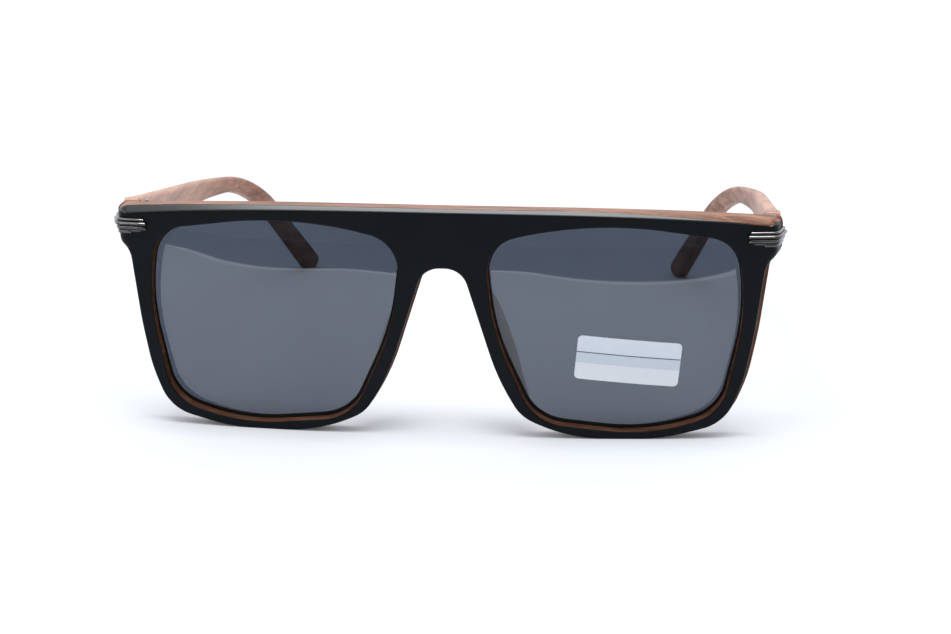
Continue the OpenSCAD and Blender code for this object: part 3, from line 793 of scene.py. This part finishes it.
class Wood:
    """Printed wood grain. Stretch is the noise scale along each axis, smallest along the grain."""

    def __init__(self, name, stretch, light):
        self.light = light
        self.material, n = material(name)
        self.n = n
        broad = n.noise(tuple(0.35 * s for s in stretch), detail=3.0, bend=0.6)
        streaks = n.noise(stretch, detail=5.0, rough=0.65, bend=0.25)
        pores = n.drop(n.noise(tuple(3.2 * s for s in stretch), detail=3.0, rough=0.6), 0.36, 0.46)
        tone = n.math("ADD", n.math("MULTIPLY", broad, 0.45), n.math("MULTIPLY", streaks, 0.55))
        grain = n.ramp(
            tone, (0.30, self.shade(74, 38, 27)), (0.42, self.shade(124, 76, 52)),
            (0.52, self.shade(160, 108, 80)), (0.62, self.shade(182, 132, 103)),
            (0.75, self.shade(198, 152, 124)))
        self.colour = n.mix(n.math("MULTIPLY", pores, 0.55), grain, self.shade(58, 27, 20))
        self.rough = n.math("ADD", n.math("MULTIPLY", streaks, 0.18), 0.30)
        height = n.math("SUBTRACT", streaks, n.math("MULTIPLY", pores, 0.5))
        self.normal = n.bump(height, 0.25, 0.00004)

    def shade(self, r, g, b):
        return srgb(r * self.light, g * self.light, b * self.light)

    def tint(self, where, strength, colour):
        """Mix a colour in where a factor is 1."""
        n = self.n
        self.colour = n.mix(n.math("MULTIPLY", where, strength), self.colour, colour)

    def finish(self, side_shine):
        """Shader that shines most where the surface looks up."""
        n = self.n
        up = n.coordinate("Normal")["Z"]
        shine = n.math("ADD", n.ramp(up, (0.4, BLACK), (0.8, grey(0.5))), side_shine)
        n.shader(Base_Color=self.colour, Roughness=self.rough, Normal=self.normal, IOR=1.5,
                 Specular_IOR_Level=shine)
        return self.material


def front_wood():
    """Wood look of the front, with painted shade that makes the walls below the brow darker than on top and
    behind.
    """
    w = Wood("front_wood", (60, 900, 900), light=1.0)
    wall_top, brow_low = 0.043, 0.0475
    painted_shade_below_brow = w.n.drop(w.n.coordinate("Object")["Z"], wall_top, brow_low)
    not_back = w.n.drop(w.n.coordinate("Normal")["Y"], 0.3, 0.7)
    # Painted shade: dark brown mixed into the walls below the brow, except those facing back
    w.tint(w.n.math("MULTIPLY", painted_shade_below_brow, not_back), 0.68, w.shade(40, 20, 14))
    return w.finish(side_shine=0.0)


def temple_wood():
    """Wood look of the temples, pale along the arm and dark towards the tip."""
    w = Wood("temple_wood", (900, 60, 900), light=1.2)
    height, tip_top, arm_low = w.n.coordinate("Object")["Z"], 0.030, 0.042
    w.tint(w.n.rise(height, tip_top, arm_low), 0.38, srgb(226, 184, 163))
    w.tint(w.n.drop(height, tip_top, arm_low), 0.45, w.shade(52, 24, 16))
    return w.finish(side_shine=0.5)


def satin_black():
    """Satin black face with a faint fine tooth. Only the brow's facet shines."""
    m, n = material("satin_black")
    rim_top, brow_low = 0.041, 0.045
    cloud = n.noise(60, detail=3.0)
    tooth = n.noise(4500, detail=2.0)
    colour = n.ramp(cloud, (0.3, srgb(13, 17, 20)), (0.7, srgb(18, 22, 26)))
    normal = n.add("ShaderNodeNewGeometry").outputs["Normal"]
    up = n.add("ShaderNodeSeparateXYZ", Vector=normal).outputs["Z"]
    on_brow = n.rise(n.coordinate("Object")["Z"], rim_top, brow_low)
    facet = n.math("MULTIPLY", n.rise(up, 0.3, 0.68), on_brow)
    rough = n.math("ADD", n.math("MULTIPLY", cloud, 0.08), 0.34)
    rough = n.math("SUBTRACT", rough, n.math("MULTIPLY", facet, 0.12))
    shine = n.math("ADD", n.math("MULTIPLY", facet, 0.85), 0.13)
    n.shader(Base_Color=colour, Roughness=rough, Normal=n.bump(tooth, 0.06, 0.00001), IOR=1.45,
             Specular_IOR_Level=shine)
    return m


def metal(name, low, high, rough, scratch, painted_underside_brightness=1.0):
    """Steel of two greys with fine marks. Painted shade darkens its undersides, which keep a share of the
    brightness.
    """
    m, n = material(name)
    marks = n.noise(scratch, detail=3.0)
    cloud = n.noise(300, detail=2.0)
    up = n.math("ADD", n.coordinate("Normal")["Z"], 0.5)
    # Painted shade: faces that look down keep only the given share of the colour's brightness
    shade = n.ramp(up, (0.25, grey(painted_underside_brightness)), (0.65, WHITE))
    colour = n.mix(1.0, n.ramp(marks, (0.35, low), (0.65, high)), shade, "MULTIPLY")
    uneven = n.math("ADD", n.math("MULTIPLY", cloud, 0.12), rough)
    n.shader(Base_Color=colour, Metallic=1.0, Roughness=uneven, Normal=n.bump(marks, 0.05, 0.00001))
    return m


def gunmetal():
    """Dark polished metal of the corner trims, with strong painted shade on its undersides."""
    low, high = (0.20, 0.19, 0.19, 1), (0.34, 0.33, 0.32, 1)
    return metal("gunmetal", low, high, rough=0.10, scratch=(200, 200, 4000), painted_underside_brightness=0.15)


def satin_steel():
    """Steel of the hinge leaves."""
    low, high = (0.46, 0.46, 0.47, 1), (0.58, 0.58, 0.59, 1)
    return metal("satin_steel", low, high, rough=0.25, scratch=(600, 600, 3000))


def bright_steel():
    """Steel of the screws and rivets."""
    return metal("bright_steel", grey(0.50), grey(0.62), rough=0.18, scratch=(2500, 2500, 300))


def drawn_wire():
    """Steel of the wires inside the temples."""
    return metal("drawn_wire", grey(0.55), grey(0.65), rough=0.2, scratch=(3000, 100, 3000))


def lens_glass():
    """Grey polarised lens: dark in depth, with a hard coat that mirrors."""
    m, n = material("grey_lens")
    haze = n.noise(25, detail=2.0)
    colour = n.ramp(haze, (0.3, (0.066, 0.079, 0.105, 1)), (0.7, (0.074, 0.088, 0.115, 1)))
    n.shader(Base_Color=colour, Roughness=0.0, IOR=1.5, Transmission_Weight=1.0, Coat_Weight=0.68,
             Coat_Roughness=0.0, Coat_IOR=1.55)
    return m


def dark_gap():
    """Painted shadow for the gap round the lenses: near-black with a faint speckle."""
    m, n = material("dark_gap")
    shadow_speckle = n.noise(400, detail=3.0)
    colour = n.ramp(shadow_speckle, (0.35, srgb(13, 11, 10)), (0.7, srgb(24, 19, 17)))
    n.shader(Base_Color=colour, Roughness=0.7, Specular_IOR_Level=0.2)
    return m


def pad_plastic():
    """Smoky grey-brown plastic of the nose pads, cloudy inside."""
    m, n = material("pad_plastic")
    cloud = n.noise(180, detail=3.0)
    colour = n.ramp(cloud, (0.3, srgb(82, 70, 65)), (0.7, srgb(100, 86, 79)))
    n.shader(Base_Color=colour, Roughness=0.22, IOR=1.5, Subsurface_Weight=0.25, Subsurface_Scale=0.002)
    return m


def label_film():
    """Blank label film: a pale upper zone, a thin dark rule and a whiter lower band."""
    m, n = material("label_film")
    centre, tilt, height = Vector((40.1, 17.6)) * MM, math.radians(5.3), 9.9 * MM
    band_top, rule_low, rule_high = 0.385, 0.612, 0.64
    moved = n.place((1, 1, 1), move=(-centre.x, 0, -centre.y))
    turned = n.add("ShaderNodeVectorRotate", Vector=moved, Angle=-tilt)
    turned.rotation_type = "Y_AXIS"
    up = n.add("ShaderNodeSeparateXYZ", Vector=turned.outputs[0]).outputs["Z"]
    v = n.math("ADD", n.math("MULTIPLY", up, 1 / height), 0.5)
    film = n.ramp(
        v, (0.0, srgb(250, 252, 255)), (band_top - 0.01, srgb(246, 249, 255)),
        (band_top, srgb(222, 229, 238)), (0.60, srgb(222, 229, 239)),
        (rule_high, srgb(234, 241, 250)), (1.0, srgb(238, 244, 252)))
    rule = n.ramp(
        v, (rule_low, BLACK), (rule_low + 0.005, WHITE), (rule_high - 0.005, WHITE), (rule_high, BLACK))
    fibre = n.noise(900, detail=3.0)
    film = n.mix(n.math("MULTIPLY", fibre, 0.08), film, srgb(170, 178, 190))
    colour = n.mix(rule, film, srgb(70, 80, 92))
    n.shader(Base_Color=colour, Roughness=0.4, Normal=n.bump(fibre, 0.05, 0.00001))
    return m


# Pieces
def finish_piece(obj, mat, body, nodes=(), slot=None):
    """Give a piece its material, the body it rides and the CAD nodes it stands for. Its slot is not used.
    """
    obj.data.materials.clear()
    obj.data.materials.append(mat)
    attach(obj, body)
    if nodes:
        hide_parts(*nodes)


def paint(names, mat):
    """New material on carried-over CAD nodes."""
    for name in names:
        for s in frame["nodes"][name].material_slots:
            s.material = mat


def dress():
    """Build every visible piece and give the CAD nodes that stay their materials."""
    finish_piece(face_panel(), satin_black(), "front", ["front_face"], "face_black")
    finish_piece(wood_front(), front_wood(), "front", ["front_frame"], "frame_wood")
    pairs = [
        (lens(), lens_glass(), "lens", "lens_pane", "lens"),
        (nose_pad(), pad_plastic(), "nose_pad", "nose_pad_fin", "pad"),
        (trim(), gunmetal(), "trim", "corner_trim", "gunmetal"),
    ]
    # Painted shadow rings in the gaps round both lenses
    shadow, gap = dark_gap(), lens_gap()
    finish_piece(mirrored(gap, "lens_gap_left"), shadow, "front", slot="frame_wood")
    finish_piece(gap, shadow, "front", slot="frame_wood")
    for right, mat, node, name, slot in pairs:
        left = mirrored(right, name + "_left")
        finish_piece(right, mat, "front", [node + "_right"], slot)
        finish_piece(left, mat, "front", [node + "_left"], slot)
    arm, arm_wood = temple(), temple_wood()
    other = mirrored(arm, "temple_arm_left")
    finish_piece(arm, arm_wood, "temple_right_arm", ["temple_right"], "temple_wood")
    finish_piece(other, arm_wood, "temple_left_arm", ["temple_left"], "temple_wood")
    leaf, screw, wire = satin_steel(), bright_steel(), drawn_wire()
    for side in ("left", "right"):
        paint(["hinge_front_" + side, "hinge_temple_" + side], leaf)
        paint(["hinge_screw_" + side, "hinge_rivets_" + side], screw)
        paint(["temple_core_" + side], wire)
    paint(["lens_label"], label_film())


# Stage, in metres
FLOOR_HALF = 3.0
# How far the sheet reaches in front of the glasses, as a polynomial of the place from left to right. One is
# for its left part and one for its right part
SHEET_LEFT = (12.03, 11.37, 2.763, 0.534)
SHEET_RIGHT = (3.953, -1.015, 0.336)
SHEET_BLEND, SHEET_X0, SHEET_X1 = 0.2, -0.5, 0.45


def world():
    """White to the camera. For the rest, white behind, dim in front and bright above."""
    w = bpy.data.worlds.new("studio")
    bpy.context.scene.world = w
    n = Nodes(w)
    way = n.coordinate("Generated")
    back_share = n.math("ADD", n.math("MULTIPLY", way["Y"], 0.5), 0.5)
    behind = n.ramp(back_share, (0.30, (0.10, 0.11, 0.13, 1)), (0.62, (0.92, 0.95, 1.0, 1)))
    sky = n.mix(n.rise(way["Z"], 0.45, 0.85), behind, (0.85, 0.87, 0.90, 1))
    colour = n.mix(n.add("ShaderNodeLightPath").outputs["Is Camera Ray"], sky, WHITE)
    back = n.add("ShaderNodeBackground", Color=colour, Strength=1.0)
    n.add("ShaderNodeOutputWorld", Surface=back.outputs[0])


def polynomial(n, x, factors):
    """Value of a polynomial of a socket, with the highest power's factor first."""
    total = factors[0]
    for f in factors[1:]:
        total = n.math("ADD", n.math("MULTIPLY", total, x), f)
    return total


def pale_floor():
    """Pale sheet. To glossy rays it ends a little before the camera, with a brighter edge, as paper on a
    table would."""
    m, n = material("pale_floor")
    seen = n.add("ShaderNodeLightPath").outputs
    spot = n.coordinate("Object")
    x, y = spot["X"], spot["Y"]
    left = polynomial(n, n.math("MAXIMUM", x, SHEET_X0), SHEET_LEFT)
    right = polynomial(n, n.math("MINIMUM", x, SHEET_X1), SHEET_RIGHT)
    edge = n.math("SMOOTH_MIN", left, right, SHEET_BLEND)
    room = n.math("ADD", n.math("ADD", n.math("SUBTRACT", y, Y0), edge), 0.5)
    on_sheet = n.rise(room, 0.49, 0.51)
    rim = n.ramp(room, (0.49, BLACK), (0.505, WHITE), (0.515, WHITE), (0.535, BLACK))
    mirrored_rim = n.math("MULTIPLY", rim, seen["Is Glossy Ray"])
    white = n.mix(mirrored_rim, (0.78, 0.81, 0.85, 1), (1.2, 1.2, 1.25, 1))
    sheet = n.add("ShaderNodeBsdfDiffuse", Color=white)
    away = n.math("SQRT", n.math("ADD", n.math("MULTIPLY", x, x), n.math("MULTIPLY", y, y)))
    glow = n.ramp(away, (0.25, grey(0.07)), (0.9, grey(0.5)))
    looked_at = n.math("MAXIMUM", seen["Is Camera Ray"], seen["Is Transmission Ray"])
    lift = n.add("ShaderNodeEmission", Color=glow, Strength=looked_at)
    lit = n.add("ShaderNodeAddShader", Shader0=sheet.outputs[0], Shader1=lift.outputs[0])
    dim = n.add("ShaderNodeBsdfDiffuse", Color=(0.06, 0.065, 0.07, 1))
    beyond = n.math("MULTIPLY", seen["Is Glossy Ray"], n.math("SUBTRACT", 1.0, on_sheet))
    both = n.add("ShaderNodeMixShader", Fac=beyond, Shader0=lit.outputs[0], Shader1=dim.outputs[0])
    n.add("ShaderNodeOutputMaterial", Surface=both.outputs[0])
    return m


def floor():
    """Square sheet under the glasses."""
    h = FLOOR_HALF
    mesh = bpy.data.meshes.new("floor")
    mesh.from_pydata([(-h, -h, 0), (h, -h, 0), (h, h, 0), (-h, h, 0)], [], [(0, 1, 2, 3)])
    mesh.materials.append(pale_floor())
    obj = new_object("floor", mesh)


def point_at(obj, place, aim):
    """Put a camera or lamp in its place and turn it to what it looks at."""
    obj.location = place
    obj.rotation_mode = "QUATERNION"
    obj.rotation_quaternion = (Vector(aim) - Vector(place)).to_track_quat("-Z", "Y")


def lamp(name, place, aim, size, power):
    """Rectangular lamp, with its size in metres and its power in watts."""
    data = bpy.data.lights.new(name, "AREA")
    data.shape, data.size, data.size_y = "RECTANGLE", size[0], size[1]
    data.energy = power
    point_at(new_object(name, data), place, aim)


def camera():
    """The photograph's view, 951 by 634 pixels."""
    distance, azimuth, elevation = 0.46828, math.radians(5.97), math.radians(19.63)
    aim = Vector((0.00722, Y0, 0.02739))
    level = math.cos(elevation)
    away = Vector((math.sin(azimuth) * level, -math.cos(azimuth) * level, math.sin(elevation)))
    data = bpy.data.cameras.new("camera")
    data.sensor_width, data.lens = 36.0, 80.85
    data.clip_start = 0.01
    obj = new_object("camera", data)
    point_at(obj, Vector((0, Y0, 0)) + away * distance, aim)
    bpy.context.scene.camera = obj


camera()
world()
floor()
lamp("softbox", place=(-0.02, -0.15, 0.95), aim=(0, 0, 0), size=(0.7, 0.5), power=6.0)
lamp("fill", place=(-0.7, -0.6, 0.6), aim=(0, 0, 0.02), size=(0.5, 0.5), power=0.8)
dress()
bpy.context.scene.view_settings.view_transform = "Standard"
